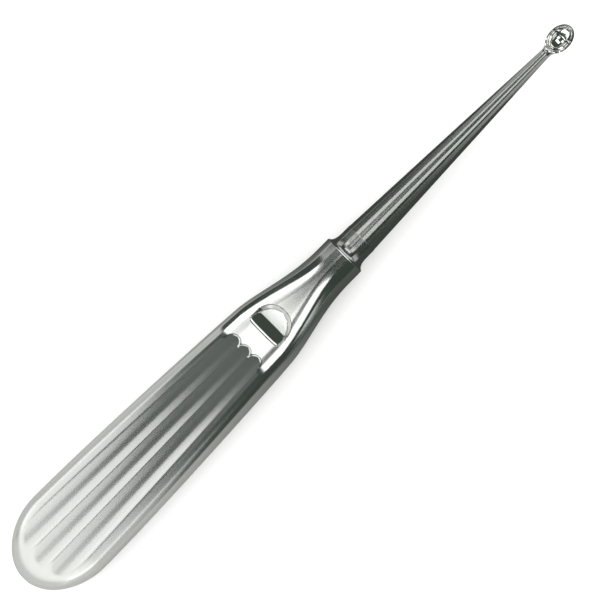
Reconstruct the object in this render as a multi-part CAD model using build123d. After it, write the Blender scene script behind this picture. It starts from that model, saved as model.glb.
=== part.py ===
from build123d import *
import math
import os

# Bone curette, in millimetres. The tool is drawn with its butt at x = 0, its long axis along +X and the
# cup opening towards +Z, and is then moved so that it lies on z = 0 with its middle at x = 0.

# Lengths along the axis
handle_length = 100.1
working_length = 69.9

# Handle, flattened grip
butt_round_length = 14.5
butt_nose_length = 11.0
widest_half_width = 10.85
grip_taper_length = 60.0
grip_taper_drop = 2.65
grip_taper_power = 1.45
butt_half_depth = 4.9
crest_half_depth = 6.6
crest_softness = 0.15
butt_tip_angle = 8.0
face_squareness = 4.5
butt_squareness = 2.3

# Handle, from the crest down an ogee to the round collar
collar_length = 3.6
ogee_length = 22.0
crest_setback = 5.0
ogee_end = handle_length - collar_length
ogee_start = ogee_end - ogee_length
crest_place = ogee_start - crest_setback
collar_radius = 5.05
mouth_chamfer = 0.15

# Handle, hollow and bore
shell_wall = 1.8
hollow_setback = 1.5
hollow_end = crest_place - hollow_setback
bore_radius = 3.25

# Flutes, three on each face
flute_count = 3
flute_overrun = 1.7
flute_end = crest_place + flute_overrun
flute_pitch_butt = 4.7
flute_pitch_cup = 3.05
groove_radius = 6.0
flute_overlap = 1.2
lean_step = 0.1

# Thumb rest, a D-shaped recess on the front face
rest_setback = 0.8
rest_length = 6.4
rest_edge_place = ogee_start + rest_setback
rest_far_place = rest_edge_place + rest_length
rest_radius = 4.6
rest_depth = 1.3
rest_slope_angle = 27.0
rest_floor_angle = 4.0
rest_wall_angle = 60.0

# Shank, turned
flare_radius = 4.9
flare_length = 4.0
land_radius = 3.8
land_length = 1.2
land_step = 0.07
neck_radius = 1.15
neck_to_tip = 8.9
tang_length = 22.0
tang_clearance = 0.02
tang_chamfer = 0.8

# Cup
cup_half_width = 2.6
cup_front_length = 3.6
cup_back_length = 3.9
cup_back_angle = 52.0
rim_level = 0.3
rim_land = 0.08
bowl_lift = 0.1
bowl_heel_wall = 0.6
throat_radius = 2.2

# Points round one cross-section of the grip, and sections between its ends
face_share = 0.8
face_spans = 8
side_spans = 6
butt_sections = 6
grip_sections = 5
crest_sections = 6
ogee_sections = 7


def smooth_step(place, start, end):
    share = min(max((place - start) / (end - start), 0.0), 1.0)
    return share * share * (3 - 2 * share)


def rounded_end(place, length):
    """Share of the full size at a place in a quarter-ellipse nose of this length."""
    if place >= length:
        return 1.0
    return math.sqrt(1 - ((length - place) / length) ** 2)


def half_width(place):
    """Half width of the handle, seen from the front."""
    past_widest = max(place - butt_round_length, 0.0) / grip_taper_length
    grip = widest_half_width - grip_taper_drop * past_widest ** grip_taper_power
    grip += (collar_radius - grip) * smooth_step(place, ogee_start, ogee_end)
    return grip * rounded_end(place, butt_round_length)


def crown(place):
    """Half depth under the flutes, a straight taper that is deepest at the crest."""
    share = (place - butt_nose_length) / (crest_place - butt_nose_length)
    return butt_half_depth + (crest_half_depth - butt_half_depth) * share


def softer_low(first, second, softness):
    """The lower of two heights, with the corner between them rounded."""
    share = max(softness - abs(first - second), 0.0) / softness
    return min(first, second) - share * share * softness / 4


def belly(place):
    """Half depth of the handle without its rounded butt, seen from the side."""
    to_collar = max(ogee_end - place, 0.0) / (ogee_end - crest_place)
    ramp = collar_radius + (crest_half_depth - collar_radius) * to_collar ** 2
    return softer_low(crown(place), ramp, crest_softness) if place < ogee_end else collar_radius


def half_depth(place):
    return belly(place) * rounded_end(place, butt_nose_length)


def squareness(place):
    """Exponent of the section: 2 is an ellipse, and more is flatter on the faces."""
    grip = butt_squareness + (face_squareness - butt_squareness) * smooth_step(place, 0, butt_round_length)
    return grip + (2 - grip) * smooth_step(place, ogee_start, ogee_end)


def face_height(place, across, depth):
    """Height over the axis of a face that is this deep in its middle, at one side of the middle."""
    power = squareness(place)
    share = 1 - (abs(across) / half_width(place)) ** power
    return depth * share ** (1 / power)


def section(place, wall=0.0):
    """One closed cross-section of the grip, drawn this far inside its skin: two faces and two sides."""
    width = half_width(place) - wall
    depth = half_depth(place) - wall
    power = squareness(place)
    edge_across = face_share * width
    edge_up = depth * (1 - face_share ** power) ** (1 / power)
    fall = (depth / edge_up) ** (power - 1) * face_share ** (power - 1) * depth / width
    face_points = []
    side_points = []
    for share in spread(1.0, -1.0, face_spans, first=True):
        across = edge_across * share
        face_points.append((across, depth * (1 - (abs(across) / width) ** power) ** (1 / power)))
    for share in spread(-1.0, 1.0, side_spans, first=True):
        up = edge_up * share
        side_points.append((width * (1 - (abs(up) / depth) ** power) ** (1 / power), up))
    face = Edge.make_spline([Vector(place, *point) for point in face_points], [(0, -1, fall), (0, -1, -fall)])
    side = Edge.make_spline([Vector(place, *point) for point in side_points], [(0, 1, fall), (0, -1, fall)])
    return Face(Wire([side, face, side.rotate(Axis.X, 180), face.rotate(Axis.X, 180)]))


def spread(start, end, count, first=False):
    """Even places from start to end, with or without the first one."""
    return [start + (end - start) * index / count for index in range(0 if first else 1, count + 1)]


def nose_places():
    """Places of the sections in the rounded butt, closer together towards its tip."""
    angles = spread(butt_tip_angle, 90, butt_sections)
    return [butt_round_length * (1 - math.cos(math.radians(angle))) for angle in [butt_tip_angle] + angles]


def grip_skin():
    """The outside of the handle, as one smooth surface from the butt to the mouth."""
    crest_start = 2 * crest_place - ogee_start
    places = nose_places() + spread(butt_round_length, crest_start, grip_sections)
    places += spread(crest_start, ogee_start, crest_sections)
    places += spread(ogee_start, handle_length, ogee_sections)
    return loft([section(place) for place in places])


def hollow():
    """The space inside the grip, which follows the skin at the thickness of the shell."""
    places = [place for place in nose_places() if place > 2 * shell_wall]
    places += spread(butt_round_length, hollow_end, grip_sections)
    return loft([section(place, shell_wall) for place in places])


def bore():
    """The round bore from the mouth into the hollow."""
    length = handle_length - hollow_end + shell_wall
    return Pos(handle_length, 0, 0) * Rot(0, -90, 0) * extrude(Circle(bore_radius), length)


def mouth_bevel():
    """A turned ring that breaks the sharp corner of the mouth."""
    reach = collar_radius + mouth_chamfer
    corner = Polyline(
        (handle_length - mouth_chamfer, reach),
        (handle_length + mouth_chamfer, reach),
        (handle_length + mouth_chamfer, collar_radius - 2 * mouth_chamfer),
        close=True,
    )
    return revolve(make_face(corner), Axis.X)


def groove_centre(lane, place):
    """Centre of the round cutter that grinds one lane, over this place of the face."""
    share = (place - butt_round_length) / (flute_end - butt_round_length)
    pitch = flute_pitch_butt + (flute_pitch_cup - flute_pitch_butt) * share
    half_chord = (pitch + flute_overlap) / 2
    lift = math.sqrt(groove_radius ** 2 - half_chord ** 2)
    across = lane * pitch
    left = face_height(place, across + lean_step, crown(place))
    right = face_height(place, across - lean_step, crown(place))
    lean = math.atan2(left - right, 2 * lean_step)
    height = face_height(place, across, crown(place)) + lift * math.cos(lean)
    return Vector(place, across - lift * math.sin(lean), height)


def flute_cutter(lane):
    """A straight ball-ended cutter along one lane, 0 for the middle one and 1 or -1 beside it."""
    last = groove_centre(lane, flute_end - flute_pitch_cup / 2)
    past_butt = groove_centre(lane, butt_round_length)
    past_butt += (past_butt - last).normalized() * butt_round_length
    rod = extrude(Plane(last, z_dir=past_butt - last) * Circle(groove_radius), (past_butt - last).length)
    return rod + Pos(last) * Sphere(groove_radius)


def thumb_rest_cutter():
    """A round milling cut with a straight sloping shoulder, which leaves a D on the face."""
    edge_height = belly(rest_edge_place)
    slope_run = rest_depth / math.tan(math.radians(rest_slope_angle))
    above = crest_half_depth + rest_depth
    floor_run = rest_far_place + rest_depth - rest_edge_place - slope_run
    floor_drop = floor_run * math.tan(math.radians(rest_floor_angle))
    outline = Polyline(
        (rest_edge_place, above),
        (rest_edge_place, edge_height),
        (rest_edge_place + slope_run, edge_height - rest_depth),
        (rest_edge_place + slope_run + floor_run, edge_height - rest_depth - floor_drop),
        (rest_edge_place + slope_run + floor_run, above),
        close=True,
    )
    profile = extrude(Plane.XZ * make_face(outline), amount=2 * rest_radius, both=True)
    wall_run = rest_depth / math.tan(math.radians(rest_wall_angle))
    floor_height = edge_height - rest_depth - floor_drop
    rise = above - floor_height
    mouth_radius = rest_radius + wall_run * (rise / rest_depth - 1)
    cone = Cone(rest_radius - wall_run, mouth_radius, rise, align=(Align.CENTER, Align.CENTER, Align.MIN))
    return profile & Pos(rest_far_place - rest_radius, 0, floor_height) * cone


def handle():
    body = grip_skin()
    body -= mouth_bevel()
    lanes = [index - (flute_count - 1) / 2 for index in range(flute_count)]
    for lane in lanes:
        cutter = flute_cutter(lane)
        body -= cutter
        body -= cutter.rotate(Axis.X, 180)
    body -= thumb_rest_cutter()
    return body - hollow() - bore()


def shank_profile():
    """The turned outline, from the tang's end to the neck and round the cup to its tip."""
    tang_radius = bore_radius - tang_clearance
    tang_start = handle_length - tang_length
    land_start = handle_length + flare_length
    land_end = land_start + land_length
    tip = handle_length + working_length
    widest = tip - cup_front_length
    with BuildLine() as line:
        tang_end = Polyline(
            (tang_start, 0),
            (tang_start, tang_radius - tang_chamfer),
            (tang_start + tang_chamfer, tang_radius),
            (handle_length, tang_radius),
            (handle_length, flare_radius),
        )
        flare = Spline(
            tang_end @ 1,
            (land_start, land_radius),
            tangents=[(1, -2.2), (1, -0.03)],
        )
        step = Polyline(flare @ 1, (land_end, land_radius), (land_end + land_step, land_radius - land_step))
        cone = Line(step @ 1, (tip - neck_to_tip, neck_radius))
        back = EllipticalCenterArc(
            (widest, 0), cup_back_length, cup_half_width, start_angle=90, arc_size=cup_back_angle
        )
        Spline(cone @ 1, back @ 1, tangents=[cone % 1, -(back % 1)])
        EllipticalCenterArc((widest, 0), cup_front_length, cup_half_width, start_angle=0, arc_size=90)
        Line((tip, 0), tang_end @ 0)
    return make_face(line.line)


def cup_bowl():
    """The hollow of the cup, a scoop that leaves a thin sharp rim."""
    tip = handle_length + working_length
    widest = tip - cup_front_length
    level = rim_level + bowl_lift
    rim_half_width = math.sqrt(cup_half_width ** 2 - rim_level ** 2) - rim_land
    half = math.hypot(rim_half_width, bowl_lift)
    stretch = half / rim_half_width
    front_length = (cup_front_length - rim_land) * stretch
    back_length = (cup_back_length - bowl_heel_wall) * stretch
    with BuildLine() as line:
        front = EllipticalCenterArc((widest, 0), front_length, half, start_angle=0, arc_size=90)
        back = EllipticalCenterArc((widest, 0), back_length, half, start_angle=90, arc_size=90)
        Line(back @ 1, front @ 0)
    return Pos(0, 0, level) * revolve(make_face(line.line), Axis.X)


def throat_cut():
    """What is taken off above the rim, with a round run-out up the neck."""
    tip = handle_length + working_length
    top = 2 * cup_half_width
    start = tip - cup_front_length - cup_back_length
    with BuildLine() as side:
        rim = Line((tip + top, rim_level), (start + throat_radius, rim_level))
        run_out = RadiusArc(rim @ 1, (start, rim_level + throat_radius), throat_radius)
        Polyline(run_out @ 1, (start, top + throat_radius), (tip + top, top + throat_radius), rim @ 0)
    return extrude(Plane.XZ * make_face(side.line), amount=2 * cup_half_width, both=True)


def shank():
    return revolve(shank_profile(), Axis.X) - throat_cut() - cup_bowl()


pieces = {"handle": handle(), "shank": shank()}
butt_place = pieces["handle"].bounding_box().min.X
table_height = pieces["handle"].bounding_box().min.Z
middle_place = (butt_place + handle_length + working_length) / 2

os.makedirs("parts", exist_ok=True)
for name, piece in pieces.items():
    export_step(Pos(-middle_place, 0, -table_height) * piece, f"parts/{name}.step")
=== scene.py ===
import math

import bmesh
import bpy
from mathutils import Matrix, Vector


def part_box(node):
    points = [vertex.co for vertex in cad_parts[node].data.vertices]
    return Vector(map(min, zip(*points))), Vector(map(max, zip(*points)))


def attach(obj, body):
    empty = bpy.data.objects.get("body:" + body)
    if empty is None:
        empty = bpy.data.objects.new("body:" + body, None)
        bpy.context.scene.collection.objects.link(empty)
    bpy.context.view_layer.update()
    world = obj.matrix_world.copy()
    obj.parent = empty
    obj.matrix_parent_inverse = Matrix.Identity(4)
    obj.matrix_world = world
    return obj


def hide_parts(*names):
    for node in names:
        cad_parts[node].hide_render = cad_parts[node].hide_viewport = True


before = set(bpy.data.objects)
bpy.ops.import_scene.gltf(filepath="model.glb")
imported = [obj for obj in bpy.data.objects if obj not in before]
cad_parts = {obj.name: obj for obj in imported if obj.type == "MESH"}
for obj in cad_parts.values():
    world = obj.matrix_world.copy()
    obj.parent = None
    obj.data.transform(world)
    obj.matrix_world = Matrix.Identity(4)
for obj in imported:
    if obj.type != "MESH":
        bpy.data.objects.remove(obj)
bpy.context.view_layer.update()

# The view. The tool lies on its back along +X with the cup opening upwards, and is seen almost straight
# from above: a little from the cup's end, and a little from its -Y side. It runs up to the right at 45
# degrees.
view_width = 0.13097
view_distance = 1.2
view_pitch = math.radians(3.0)
view_roll = math.radians(7.0)
view_turn = math.radians(45.16)
view_target = Vector((0.00105, 0.0, 0.0065))
towards_camera = Vector((math.sin(view_pitch), -math.sin(view_roll), math.cos(view_roll))).normalized()
tool_axis = (Vector((1, 0, 0)) - towards_camera * towards_camera.x).normalized()
tool_side = towards_camera.cross(tool_axis)
camera_right = tool_axis * math.cos(view_turn) - tool_side * math.sin(view_turn)
camera_up = tool_axis * math.sin(view_turn) + tool_side * math.cos(view_turn)
camera_data = bpy.data.cameras.new("camera")
camera_data.sensor_width = 36.0
camera_data.lens = camera_data.sensor_width * view_distance / view_width
camera_data.clip_start = 0.01
camera = bpy.data.objects.new("camera", camera_data)
turned_to = Matrix((camera_right, camera_up, towards_camera)).transposed().to_4x4()
camera.matrix_world = Matrix.Translation(view_target + towards_camera * view_distance) @ turned_to
bpy.context.scene.collection.objects.link(camera)
bpy.context.scene.camera = camera

# The studio. A white sweep lies under the tool, and soft white panels hang around a dark room. The steel
# mirrors the panels at the butt and over the working end, and the dark gap between them over the flutes.
bpy.context.scene.view_settings.view_transform = "Standard"
floor_size = 3.0
sharp_edge = math.radians(32)


def linear(code):
    """An sRGB hex colour as linear red, green, blue and alpha."""
    parts = [int(code[place : place + 2], 16) / 255 for place in (1, 3, 5)]
    return [part / 12.92 if part <= 0.04045 else ((part + 0.055) / 1.055) ** 2.4 for part in parts] + [1.0]


def add_node(tree, kind, settings=None, inputs=None, links=None):
    """A node with its settings, and the values and sockets that its inputs take, by name or number."""
    node = tree.nodes.new(kind)
    for name, value in (settings or {}).items():
        setattr(node, name, value)
    for name, value in (inputs or {}).items():
        node.inputs[name].default_value = value
    for name, socket in (links or {}).items():
        tree.links.new(socket, node.inputs[name])
    return node


def new_material(name):
    """An empty node material and the tree that its nodes go into."""
    material = bpy.data.materials.new(name)
    material.use_nodes = True
    material.node_tree.nodes.clear()
    return material, material.node_tree


def finish_mesh(name, mesh_builder, material):
    """A piece at the origin from a bmesh, smooth but for its sharp edges."""
    bmesh.ops.recalc_face_normals(mesh_builder, faces=mesh_builder.faces)
    mesh = bpy.data.meshes.new(name)
    mesh_builder.to_mesh(mesh)
    mesh_builder.free()
    mesh.materials.append(material)
    mesh.shade_smooth()
    mesh.set_sharp_from_angle(angle=sharp_edge)
    piece = bpy.data.objects.new(name, mesh)
    bpy.context.scene.collection.objects.link(piece)
    return piece


# Matt white paper, plain at this distance. Its reflection in the steel is painted shade: grey beside the
# grip and the cup, and dark beside the neck and the shank, with soft edges.
floor_paint, tree = new_material("white_paper_sweep")
# Where the painted dark reflection lies: slanting past the grip, and fading out before the cup.
painted_dark_slant = -0.3
painted_dark_start = (-0.05, 0.01)
painted_dark_end = (0.064, 0.076)
ray = add_node(tree, "ShaderNodeLightPath")
place_on = add_node(tree, "ShaderNodeTexCoord")
split = add_node(tree, "ShaderNodeSeparateXYZ", None, None, {"Vector": place_on.outputs["Object"]})
slant = add_node(
    tree,
    "ShaderNodeMath",
    {"operation": "MULTIPLY_ADD"},
    {1: painted_dark_slant},
    {0: split.outputs["Y"], 2: split.outputs["X"]},
)
painted_dark_from_grip = add_node(
    tree,
    "ShaderNodeMapRange",
    None,
    {"From Min": painted_dark_start[0], "From Max": painted_dark_start[1]},
    {"Value": slant.outputs["Value"]},
)
painted_dark_to_cup = add_node(
    tree,
    "ShaderNodeMapRange",
    None,
    {"From Min": painted_dark_end[0], "From Max": painted_dark_end[1], "To Min": 1.0, "To Max": 0.0},
    {"Value": split.outputs["X"]},
)
painted_dark_mask = add_node(
    tree,
    "ShaderNodeMath",
    {"operation": "MULTIPLY"},
    None,
    {0: painted_dark_from_grip.outputs["Result"], 1: painted_dark_to_cup.outputs["Result"]},
)
paper = add_node(tree, "ShaderNodeBsdfDiffuse", None, {"Color": linear("#F7F7F5")})
# Painted reflections that only the steel sees: grey and dark stand-ins for shade.
painted_grey_reflection = add_node(tree, "ShaderNodeBsdfDiffuse", None, {"Color": linear("#B0B0AE")})
painted_dark_reflection = add_node(tree, "ShaderNodeBsdfDiffuse", None, {"Color": linear("#4C504C")})
painted_reflection = add_node(
    tree,
    "ShaderNodeMixShader",
    None,
    None,
    {"Fac": painted_dark_mask.outputs["Value"], 1: painted_grey_reflection.outputs["BSDF"], 2: painted_dark_reflection.outputs["BSDF"]},
)
# Glossy rays see the painted reflection, and all other rays see the white paper.
seen = add_node(
    tree,
    "ShaderNodeMixShader",
    None,
    None,
    {"Fac": ray.outputs["Is Glossy Ray"], 1: paper.outputs["BSDF"], 2: painted_reflection.outputs["Shader"]},
)
add_node(tree, "ShaderNodeOutputMaterial", None, None, {"Surface": seen.outputs["Shader"]})
sweep = bmesh.new()
bmesh.ops.create_grid(sweep, x_segments=1, y_segments=1, size=floor_size / 2)
floor = finish_mesh("floor", sweep, floor_paint)

world = bpy.data.worlds.new("studio")
world.use_nodes = True
tree = world.node_tree
tree.nodes.clear()
ray = add_node(tree, "ShaderNodeLightPath")
room = add_node(tree, "ShaderNodeBackground", None, {"Color": linear("#F4F5F4"), "Strength": 1.0})
dim_room = add_node(tree, "ShaderNodeBackground", None, {"Color": linear("#4A544D"), "Strength": 0.75})
seen = add_node(
    tree,
    "ShaderNodeMixShader",
    None,
    None,
    {"Fac": ray.outputs["Is Glossy Ray"], 1: room.outputs["Background"], 2: dim_room.outputs["Background"]},
)
add_node(tree, "ShaderNodeOutputWorld", None, None, {"Surface": seen.outputs["Shader"]})
bpy.context.scene.world = world


def panel(name, corner, along, up, strength):
    """A soft white panel that faces the tool, given by one corner and its two neighbours."""
    middle = (Vector(along) + Vector(up)) / 2
    width = Vector(along) - Vector(corner)
    height = Vector(up) - Vector(corner)
    data = bpy.data.lights.new(name, "AREA")
    data.shape = "RECTANGLE"
    data.size = width.length
    data.size_y = height.length
    data.energy = strength * data.size * data.size_y * math.pi
    first = width.normalized()
    away = width.cross(height).normalized()
    away *= math.copysign(1, away.dot(middle))
    turned_to = Matrix((first, away.cross(first), away)).transposed().to_4x4()
    light = bpy.data.objects.new(name, data)
    light.matrix_world = Matrix.Translation(middle) @ turned_to
    light.visible_camera = False
    bpy.context.scene.collection.objects.link(light)


def level_panel(name, along_x, across_y, height, strength):
    """A panel that hangs level over the tool."""
    near, far = along_x
    inner, outer = across_y
    panel(name, (near, inner, height), (far, inner, height), (near, outer, height), strength)


def side_card(name, along_x, across, top, strength):
    """A card that stands on the floor at one side of the tool."""
    near, far = along_x
    panel(name, (near, across, 0.0), (far, across, 0.0), (near, across, top), strength)


def end_card(name, place, across_y, top, strength):
    """A card that stands on the floor past one end of the tool."""
    right, left = across_y
    panel(name, (place, right, 0.0), (place, left, 0.0), (place, right, top), strength)


butt_far = -0.41
butt_low = 0.16
butt_high = 0.26
butt_white = 1.25
for name, near, inner, outer in (
    ("butt_middle", -0.12, -0.03, 0.07),
    ("butt_left", -0.078, 0.07, 0.34),
    ("butt_right", -0.10, -0.03, -0.30),
):
    panel(name, (near, inner, butt_high), (near, outer, butt_high), (butt_far, inner, butt_low), butt_white)
end_card("butt_card", -0.42, (-0.30, 0.34), butt_low, 0.7)
neck_height = 0.22
neck_reach = 0.029
level_panel("neck_left", (0.015, neck_reach), (0.04, 0.255), neck_height, 1.9)
level_panel("neck_right", (0.023, neck_reach), (0.0, -0.16), neck_height, 1.9)
level_panel("neck_middle", (0.011, neck_reach), (0.0, 0.04), neck_height, 2.4)
shank_height = 0.5
shank_span = (0.03, 0.17)
level_panel("shank_left", shank_span, (0.22, 0.52), shank_height, 1.5)
level_panel("shank_right", shank_span, (-0.08, -0.33), shank_height, 1.5)
side_card("left_card", (-0.35, 0.0), 0.30, 0.28, 0.6)
side_card("right_card", (-0.35, -0.07), -0.22, 0.25, 0.7)
end_card("cup_card", 0.45, (-0.30, 0.30), 0.15, 1.6)
cup_height = 0.45
level_panel("cup_sky", (0.19, 0.32), (-0.20, 0.20), cup_height, 2.2)
level_panel("crest_card", (-0.078, -0.040), (-0.10, 0.15), butt_high, 0.1)
cup_span = (0.075, 0.25)
side_card("cup_left_card", cup_span, 0.25, 0.2, 0.8)
side_card("cup_right_card", cup_span, -0.25, 0.2, 0.8)

# The handle is a flattened steel grip, ground satin all over. Three fluted lanes run along each face, the
# front has a D-shaped thumb rest, and the neck draws in to a round collar with an open mouth.
millimetre = 0.001
handle_length = 100.1
overall_length = 170.0
butt_round_length = 14.5
butt_nose_length = 11.0
widest_half_width = 10.85
grip_taper_length = 60.0
grip_taper_drop = 2.65
grip_taper_power = 1.45
butt_half_depth = 4.9
crest_half_depth = 6.6
crest_softness = 0.15
butt_tip_angle = 8.0
face_squareness = 4.5
butt_squareness = 2.3
collar_length = 3.6
ogee_length = 22.0
crest_setback = 5.0
ogee_end = handle_length - collar_length
ogee_start = ogee_end - ogee_length
crest_place = ogee_start - crest_setback
collar_radius = 5.05
mouth_chamfer = 0.15
bore_radius = 3.25
bore_depth = 22.0
flute_count = 3
flute_overrun = 1.7
flute_end = crest_place + flute_overrun
flute_pitch_butt = 4.7
flute_pitch_cup = 3.05
groove_radius = 6.0
flute_overlap = 1.2
lean_step = 0.1
rest_setback = 1.2
rest_length = 6.9
rest_edge_place = ogee_start + rest_setback
rest_far_place = rest_edge_place + rest_length
rest_radius = 4.6
rest_depth = 1.3
rest_slope_angle = 25.0
rest_floor_angle = 4.0
rest_wall_angle = 60.0
rest_reach = 4.95
widest_reach = 0.74
widest_lane = 1.05
crease_softness = 0.16
lane_end_radius = 1.5
lane_end_angle = 50.0
lane_rows = 20
side_rows = 28
shank_low, shank_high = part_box("shank")
middle_place = overall_length - shank_high.x / millimetre
axis_height = (shank_low.z + shank_high.z) / 2 / millimetre


def in_frame(place, across, up):
    """A point of the tool, in millimetres from its butt and its axis, as metres in the model's frame."""
    return Vector((place - middle_place, across, up + axis_height)) * millimetre


def smooth_step(place, start, end):
    """Share of the way from start to end, which eases in and out."""
    share = min(max((place - start) / (end - start), 0.0), 1.0)
    return share * share * (3 - 2 * share)


def rounded_end(place, length):
    """Share of the full size at a place in a quarter-ellipse nose of this length."""
    return 1.0 if place >= length else math.sqrt(max(1 - ((length - place) / length) ** 2, 0.0))


def half_width(place):
    """Half width of the handle, seen from the front."""
    past_widest = max(place - butt_round_length, 0.0) / grip_taper_length
    grip = widest_half_width - grip_taper_drop * past_widest ** grip_taper_power
    grip += (collar_radius - grip) * smooth_step(place, ogee_start, ogee_end)
    return grip * rounded_end(place, butt_round_length)


def crown(place):
    """Half depth under the flutes, a straight taper that is deepest at the crest."""
    share = (place - butt_nose_length) / (crest_place - butt_nose_length)
    return butt_half_depth + (crest_half_depth - butt_half_depth) * share


def softer_low(first, second, softness):
    """The lower of two heights, with the corner between them rounded."""
    share = max(softness - abs(first - second), 0.0) / softness
    return min(first, second) - share * share * softness / 4


def belly(place):
    """Half depth of the handle without its rounded butt, seen from the side."""
    to_collar = max(ogee_end - place, 0.0) / (ogee_end - crest_place)
    ramp = collar_radius + (crest_half_depth - collar_radius) * to_collar ** 2
    return softer_low(crown(place), ramp, crest_softness) if place < ogee_end else collar_radius


def squareness(place):
    """Exponent of the section: 2 is an ellipse, and more is flatter on the faces."""
    grip = butt_squareness + (face_squareness - butt_squareness) * smooth_step(place, 0, butt_round_length)
    return grip + (2 - grip) * smooth_step(place, ogee_start, ogee_end)


def face_height(place, across, depth):
    """Height over the axis of a face that is this deep in its middle, at one side of the middle."""
    power = squareness(place)
    share = max(1 - (abs(across) / half_width(place)) ** power, 0.0)
    return depth * share ** (1 / power)


def lane_pitch(place):
    """Distance between the middles of two lanes."""
    share = (place - butt_round_length) / (flute_end - butt_round_length)
    return flute_pitch_butt + (flute_pitch_cup - flute_pitch_butt) * min(max(share, 0.0), 1.0)


def groove_centre(lane, place):
    """Centre of the round cutter that grinds one lane, over this place of the face."""
    pitch = lane_pitch(place)
    half_chord = (pitch + flute_overlap) / 2
    lift = math.sqrt(groove_radius ** 2 - half_chord ** 2)
    across = lane * pitch
    left = face_height(place, across + lean_step, crown(place))
    right = face_height(place, across - lean_step, crown(place))
    lean = math.atan2(left - right, 2 * lean_step)
    height = face_height(place, across, crown(place)) + lift * math.cos(lean)
    return Vector((place, across - lift * math.sin(lean), height))


last_place = flute_end - lane_end_radius
lane_paths = []
for index in range(flute_count):
    lane = index - (flute_count - 1) / 2
    lane_paths.append((groove_centre(lane, butt_round_length), groove_centre(lane, last_place)))


def groove_height(place, across, path):
    """Height of the groove along one lane, up to its round end wall. Beside it this is over the face."""
    start, end = path
    centre = start.lerp(end, (place - start.x) / (end.x - start.x))
    left = groove_radius ** 2 - (across - centre.y) ** 2
    past_end = math.hypot(max(place - last_place, 0.0), across - centre.y) - lane_end_radius
    wall = max(past_end, 0.0) * math.tan(math.radians(lane_end_angle)) if place > last_place else 0.0
    return centre.z - math.sqrt(left) + wall if left > 0 else centre.z


def thumb_rest_height(place, across):
    """Height of the milled thumb rest: a sloping shoulder, a floor and a round wall."""
    edge = belly(rest_edge_place)
    slope = edge - (place - rest_edge_place) * math.tan(math.radians(rest_slope_angle))
    run = place - rest_edge_place - rest_depth / math.tan(math.radians(rest_slope_angle))
    bottom = edge - rest_depth - run * math.tan(math.radians(rest_floor_angle))
    off = math.hypot(place - rest_far_place + rest_radius, across) - rest_radius
    wall = edge + off * math.tan(math.radians(rest_wall_angle))
    return max(slope, bottom, wall)


def face_across(place, row):
    """How far from the middle a row of the face lies, so that rows follow the crests between the lanes."""
    pitch = lane_pitch(place)
    past_lanes = smooth_step(place, flute_end, ogee_start)
    outer = (flute_count * pitch + flute_overlap) / 2
    outer = min(outer + (rest_reach - outer) * past_lanes, widest_reach * half_width(place))
    even_share = outer / flute_count
    inner = min(pitch / 2 + (even_share - pitch / 2) * past_lanes, even_share * widest_lane)
    marks = [outer, inner, -inner, -outer]
    lane = min(row // lane_rows, flute_count - 1)
    share = row / lane_rows - lane
    return marks[lane] + (marks[lane + 1] - marks[lane]) * share


def ring_point(place, row, face_rows):
    """One point of a ring round the handle. Rows go over the front, down a side, under the back and up."""
    depth = belly(place) * rounded_end(place, butt_nose_length)
    width = half_width(place)
    power = squareness(place)
    back = row >= face_rows + side_rows
    step = row - (face_rows + side_rows) if back else row
    if step <= face_rows:
        across = face_across(place, step)
        up = face_height(place, across, depth)
        if place < flute_end + crease_softness:
            for path in lane_paths:
                up = softer_low(up, groove_height(place, across, path), crease_softness)
        elif not back and place < rest_far_place + rest_depth:
            up = softer_low(up, thumb_rest_height(place, across), crease_softness)
    else:
        edge = face_across(place, 0)
        start = math.atan2(face_height(place, edge, depth), -edge)
        angle = start + (2 * math.pi - 2 * start) * (step - face_rows) / side_rows
        reach = abs(math.cos(angle) / width) ** power + abs(math.sin(angle) / depth) ** power
        across = reach ** (-1 / power) * math.cos(angle)
        up = reach ** (-1 / power) * math.sin(angle)
    return in_frame(place, -across, -up) if back else in_frame(place, across, up)


def even(start, end, count):
    """Evenly spaced values after the start, up to and with the end."""
    return [start + (end - start) * index / count for index in range(1, count + 1)]


def extrude_ring(builder, ring_edges):
    """A new ring grown from the last one: its edges, and its vertices in the order of the rows."""
    made = bmesh.ops.extrude_edge_only(builder, edges=ring_edges)["geom"]
    edges = [item for item in made if isinstance(item, bmesh.types.BMEdge) and item.is_boundary]
    return edges, [item for item in made if isinstance(item, bmesh.types.BMVert)]


face_rows = flute_count * lane_rows
ring_size = 2 * (face_rows + side_rows)
nose_angles = even(butt_tip_angle - 2, 90, 60)
places = [butt_round_length * (1 - math.cos(math.radians(angle))) for angle in nose_angles]
# Where each stretch of rings ends, and how many it has: most where the lanes end and over the thumb rest.
for end, rings in (
    (crest_place - 3, 52),
    (flute_end + 0.3, 46),
    (rest_edge_place - 0.6, 8),
    (rest_far_place + 1, 84),
    (handle_length - mouth_chamfer, 36),
):
    places += even(places[-1], end, rings)
grip = bmesh.new()
ring = bmesh.ops.create_circle(grip, segments=ring_size, radius=1.0)["verts"]
ring_edges = list(grip.edges)
for row, vertex in enumerate(ring):
    vertex.co = ring_point(places[0], row, face_rows)
bmesh.ops.contextual_create(grip, geom=ring_edges)
for place in places[1:]:
    ring_edges, ring = extrude_ring(grip, ring_edges)
    for row, vertex in enumerate(ring):
        vertex.co = ring_point(place, row, face_rows)
for place, radius in (
    (handle_length, collar_radius - mouth_chamfer),
    (handle_length, bore_radius),
    (handle_length - bore_depth, bore_radius),
):
    ring_edges, ring = extrude_ring(grip, ring_edges)
    for vertex in ring:
        spoke = vertex.co / millimetre - Vector((0, 0, axis_height))
        scale = radius / math.hypot(spoke.y, spoke.z)
        vertex.co = in_frame(place, spoke.y * scale, spoke.z * scale)
bmesh.ops.contextual_create(grip, geom=ring_edges)

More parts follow.
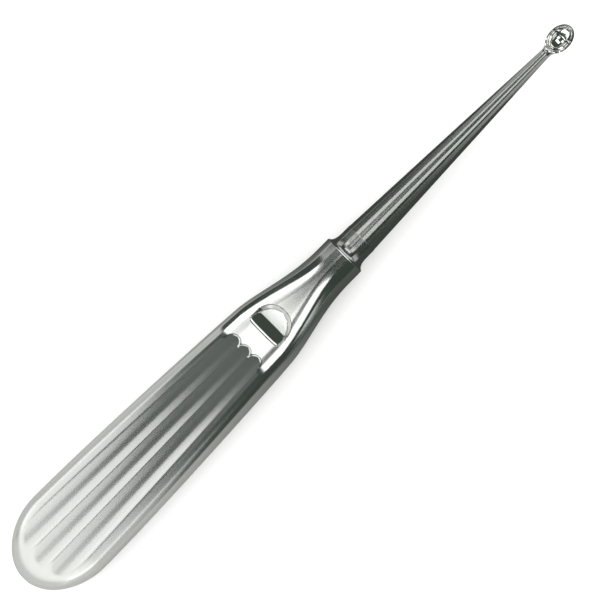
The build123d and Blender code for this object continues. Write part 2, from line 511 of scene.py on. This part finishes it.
# Stainless steel ground satin. The palm end is the dullest and the neck is worn brighter; a fine grain
# breaks up every reflection.
satin_steel, tree = new_material("satin_ground_stainless_steel")
palm_roughness = 0.25
neck_roughness = 0.11
wear_start = -0.09
wear_end = 0.005
grain_size = 0.35
grain_height = 0.01
grain_share = 0.025
place_on = add_node(tree, "ShaderNodeTexCoord")
split = add_node(tree, "ShaderNodeSeparateXYZ", None, None, {"Vector": place_on.outputs["Object"]})
wear = add_node(
    tree,
    "ShaderNodeMapRange",
    {"interpolation_type": "SMOOTHERSTEP"},
    {"From Min": wear_start, "From Max": wear_end, "To Min": palm_roughness, "To Max": neck_roughness},
    {"Value": split.outputs["X"]},
)
grain = add_node(
    tree,
    "ShaderNodeTexNoise",
    None,
    {"Scale": 1 / (grain_size * millimetre), "Detail": 4.0, "Roughness": 0.6},
    {"Vector": place_on.outputs["Object"]},
)
uneven = add_node(
    tree,
    "ShaderNodeMath",
    {"operation": "MULTIPLY_ADD"},
    {1: grain_share},
    {0: grain.outputs["Fac"], 2: wear.outputs["Result"]},
)
bump = add_node(
    tree,
    "ShaderNodeBump",
    None,
    {"Strength": 0.12, "Distance": grain_height * millimetre},
    {"Height": grain.outputs["Fac"]},
)
metal = add_node(
    tree,
    "ShaderNodeBsdfPrincipled",
    None,
    {"Base Color": linear("#D6D7D4"), "Metallic": 1.0},
    {"Roughness": uneven.outputs["Value"], "Normal": bump.outputs["Normal"]},
)
add_node(tree, "ShaderNodeOutputMaterial", None, None, {"Surface": metal.outputs["BSDF"]})
handle = finish_mesh("handle_skin", grip, satin_steel)
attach(handle, "root")
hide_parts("handle")

# The shank is one turned piece of steel: a tang inside the handle's neck, a flare on its mouth, a slim
# cone, and the cup at its tip, scooped out to a sharp rim with a round run-out up the neck.
tang_length = 22.0
tang_radius = 3.23
tang_chamfer = 0.8
flare_radius = 4.9
flare_length = 4.0
flare_slopes = (-2.2, -0.03)
land_radius = 3.8
land_length = 1.2
land_step = 0.07
neck_radius = 1.15
neck_to_tip = 8.9
cup_half_width = 2.6
cup_front_length = 3.6
cup_back_length = 3.9
cup_back_angle = 52.0
rim_level = 0.3
rim_land = 0.08
bowl_lift = 0.1
bowl_heel_wall = 0.6
throat_radius = 2.2
steepest_cut = 86.0
cut_run_in = 0.2
tip_fine_angle = 77.5
tip_last_angle = 88.5
under_rows = 56
land_rows = 2
bowl_rows = 24
widest_place = overall_length - cup_front_length
throat_place = widest_place - cup_back_length
land_start = handle_length + flare_length
land_end = land_start + land_length
neck_place = overall_length - neck_to_tip
rim_half_width = math.sqrt(cup_half_width ** 2 - rim_level ** 2) - rim_land
bowl_half = math.hypot(rim_half_width, bowl_lift)
bowl_stretch = bowl_half / rim_half_width


def bend(start, start_slope, end, end_slope, count):
    """Outline points on a smooth bend between two points, each with its slope."""
    chord = math.dist(start, end)
    first = Vector((1, start_slope)).normalized() * chord
    last = Vector((1, end_slope)).normalized() * chord
    points = []
    for share in even(0, 1, count):
        point = Vector(start) * (2 * share ** 3 - 3 * share ** 2 + 1)
        point += Vector(end) * (3 * share ** 2 - 2 * share ** 3)
        point += first * (share ** 3 - 2 * share ** 2 + share) + last * (share ** 3 - share ** 2)
        points.append(tuple(point))
    return points


def cup_outline(angle):
    """A point of the cup's outline at an angle from its widest place, below zero towards the neck."""
    length = cup_front_length if angle > 0 else cup_back_length
    turn = math.radians(angle)
    return (widest_place + length * math.sin(turn), cup_half_width * math.cos(turn))


def throat_height(place):
    """Height of the cut that opens the cup, which runs out in an arc towards the neck."""
    back = min(max(throat_place + throat_radius - place, 0.0), throat_radius)
    return rim_level + throat_radius - math.sqrt(throat_radius ** 2 - back ** 2)


def bowl_half_width(place, level):
    """Half width of the bowl at a place and at a height over the axis, or 0 outside it."""
    length = cup_front_length - rim_land if place > widest_place else cup_back_length - bowl_heel_wall
    share = 1 - ((place - widest_place) / (length * bowl_stretch)) ** 2
    left = bowl_half ** 2 * share - (level - rim_level - bowl_lift) ** 2
    return math.sqrt(left) if left > 0 else 0.0


def shank_point(place, radius, row):
    """One point of a ring round the shank. Rows go under it from rim to rim, then back over the top."""
    top = throat_height(place) if place > throat_place else flare_radius + rim_level
    if top < radius:
        cut = min(math.asin(top / radius), math.radians(steepest_cut))
    else:
        low = math.asin(min(rim_level / radius, 1.0))
        share = smooth_step(place, neck_place, throat_place + cut_run_in)
        cut = low + (math.radians(steepest_cut) - low) * share
    if row <= under_rows:
        angle = cut - (math.pi + 2 * cut) * row / under_rows
        return in_frame(place, radius * math.cos(angle), radius * math.sin(angle))
    over = row - under_rows
    over_rows = 2 * land_rows + bowl_rows
    if top >= radius:
        angle = math.pi - cut - (math.pi - 2 * cut) * over / over_rows
        return in_frame(place, radius * math.cos(angle), radius * math.sin(angle))
    rim = radius * math.cos(cut)
    bowl = bowl_half_width(place, top)
    if bowl == 0.0:
        return in_frame(place, -rim + 2 * rim * over / over_rows, radius * math.sin(cut))
    if over < land_rows or over > land_rows + bowl_rows:
        from_rim = over if over < land_rows else over_rows - over
        across = rim - (rim - bowl) * from_rim / land_rows
        return in_frame(place, -across if over < land_rows else across, top)
    across = -bowl * math.cos(math.pi * (over - land_rows) / bowl_rows)
    centre = rim_level + bowl_lift
    level = bowl_half_width(place, centre) ** 2 - across ** 2
    return in_frame(place, across, centre - math.sqrt(max(level, 0.0)))


tang_start = handle_length - tang_length
outline = [(tang_start, tang_radius - tang_chamfer), (tang_start + tang_chamfer, tang_radius)]
flare_start = (handle_length, flare_radius)
outline += [(handle_length, tang_radius), flare_start]
outline += bend(flare_start, flare_slopes[0], (land_start, land_radius), flare_slopes[1], 28)
outline += [(land_end, land_radius), (land_end + land_step, land_radius - land_step)]
cone_start = outline[-1]
cone_slope = (neck_radius - cone_start[1]) / (neck_place - cone_start[0])
for place in even(cone_start[0], neck_place, 40):
    outline.append((place, cone_start[1] + (place - cone_start[0]) * cone_slope))
back_start = cup_outline(-cup_back_angle)
back_slope = cup_half_width * math.tan(math.radians(cup_back_angle)) / cup_back_length
outline += bend(outline[-1], cone_slope, back_start, back_slope, 30)
outline += [cup_outline(angle) for angle in even(-cup_back_angle, 0, 34)]
tip_angles = even(0, tip_fine_angle, 34) + even(tip_fine_angle, tip_last_angle, 8)
outline += [cup_outline(angle) for angle in tip_angles]
ring_size = under_rows + 2 * land_rows + bowl_rows
turned = bmesh.new()
ring = bmesh.ops.create_circle(turned, segments=ring_size, radius=1.0)["verts"]
ring_edges = list(turned.edges)
for row, vertex in enumerate(ring):
    vertex.co = shank_point(*outline[0], row)
bmesh.ops.contextual_create(turned, geom=ring_edges)
for place, radius in outline[1:]:
    ring_edges, ring = extrude_ring(turned, ring_edges)
    for row, vertex in enumerate(ring):
        vertex.co = shank_point(place, radius, row)
bmesh.ops.contextual_create(turned, geom=ring_edges)

# Stainless steel polished on the lathe. Fine rings of the polishing stone cross the shank and draw its
# reflections out along it. The cup has none, so it mirrors the room sharply. Its colour is also painted
# lighter and the shank's painted darker, as painted highlight and painted shade.
polished_steel, tree = new_material("lathe_polished_stainless_steel")
place_on = add_node(tree, "ShaderNodeTexCoord")
ring_spacing = 0.18
ring_reach = 4.0
ring_height = 0.005
ring_fade = 2.0
cup_roughness = 0.08
ring_roughness = (0.04, 0.14)
squeeze = add_node(
    tree,
    "ShaderNodeVectorMath",
    {"operation": "MULTIPLY"},
    {1: [1 / (step * millimetre) for step in (ring_spacing, ring_reach, ring_reach)]},
    {0: place_on.outputs["Object"]},
)
round_it = add_node(tree, "ShaderNodeTangent", {"direction_type": "RADIAL", "axis": "X"})
rings = add_node(
    tree,
    "ShaderNodeTexNoise",
    None,
    {"Scale": 1.0, "Detail": 3.0, "Roughness": 0.6},
    {"Vector": squeeze.outputs["Vector"]},
)
split = add_node(tree, "ShaderNodeSeparateXYZ", None, None, {"Vector": place_on.outputs["Object"]})
neck_x = in_frame(neck_place, 0, 0).x
turned_part = add_node(
    tree,
    "ShaderNodeMapRange",
    None,
    {"From Min": neck_x, "From Max": neck_x + ring_fade * millimetre, "To Min": 1.0, "To Max": 0.0},
    {"Value": split.outputs["X"]},
)
uneven = add_node(
    tree,
    "ShaderNodeMapRange",
    None,
    {"To Min": ring_roughness[0], "To Max": ring_roughness[1]},
    {"Value": rings.outputs["Fac"]},
)
roughness = add_node(
    tree,
    "ShaderNodeMath",
    {"operation": "MULTIPLY_ADD"},
    {2: cup_roughness},
    {0: uneven.outputs["Result"], 1: turned_part.outputs["Result"]},
)
drawn_out = add_node(
    tree, "ShaderNodeMath", {"operation": "MULTIPLY"}, {1: 0.85}, {0: turned_part.outputs["Result"]}
)
bump = add_node(
    tree,
    "ShaderNodeBump",
    None,
    {"Strength": 0.3, "Distance": ring_height * millimetre},
    {"Height": rings.outputs["Fac"]},
)
# Painted light: the cup's colour is painted lighter as a highlight, and the turned shank's is painted
# darker as shade.
painted_light_and_shade_tone = add_node(
    tree,
    "ShaderNodeMix",
    {"data_type": "RGBA"},
    {6: linear("#E9EAE8"), 7: linear("#ACAEAA")},
    {0: turned_part.outputs["Result"]},
)
metal = add_node(
    tree,
    "ShaderNodeBsdfPrincipled",
    None,
    {"Metallic": 1.0, "Anisotropic Rotation": 0.25},
    {
        "Base Color": painted_light_and_shade_tone.outputs[2],
        "Roughness": roughness.outputs["Value"],
        "Anisotropic": drawn_out.outputs["Value"],
        "Normal": bump.outputs["Normal"],
        "Tangent": round_it.outputs["Tangent"],
    },
)
add_node(tree, "ShaderNodeOutputMaterial", None, None, {"Surface": metal.outputs["BSDF"]})
shank = finish_mesh("turned_shank", turned, polished_steel)
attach(shank, "root")
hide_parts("shank")
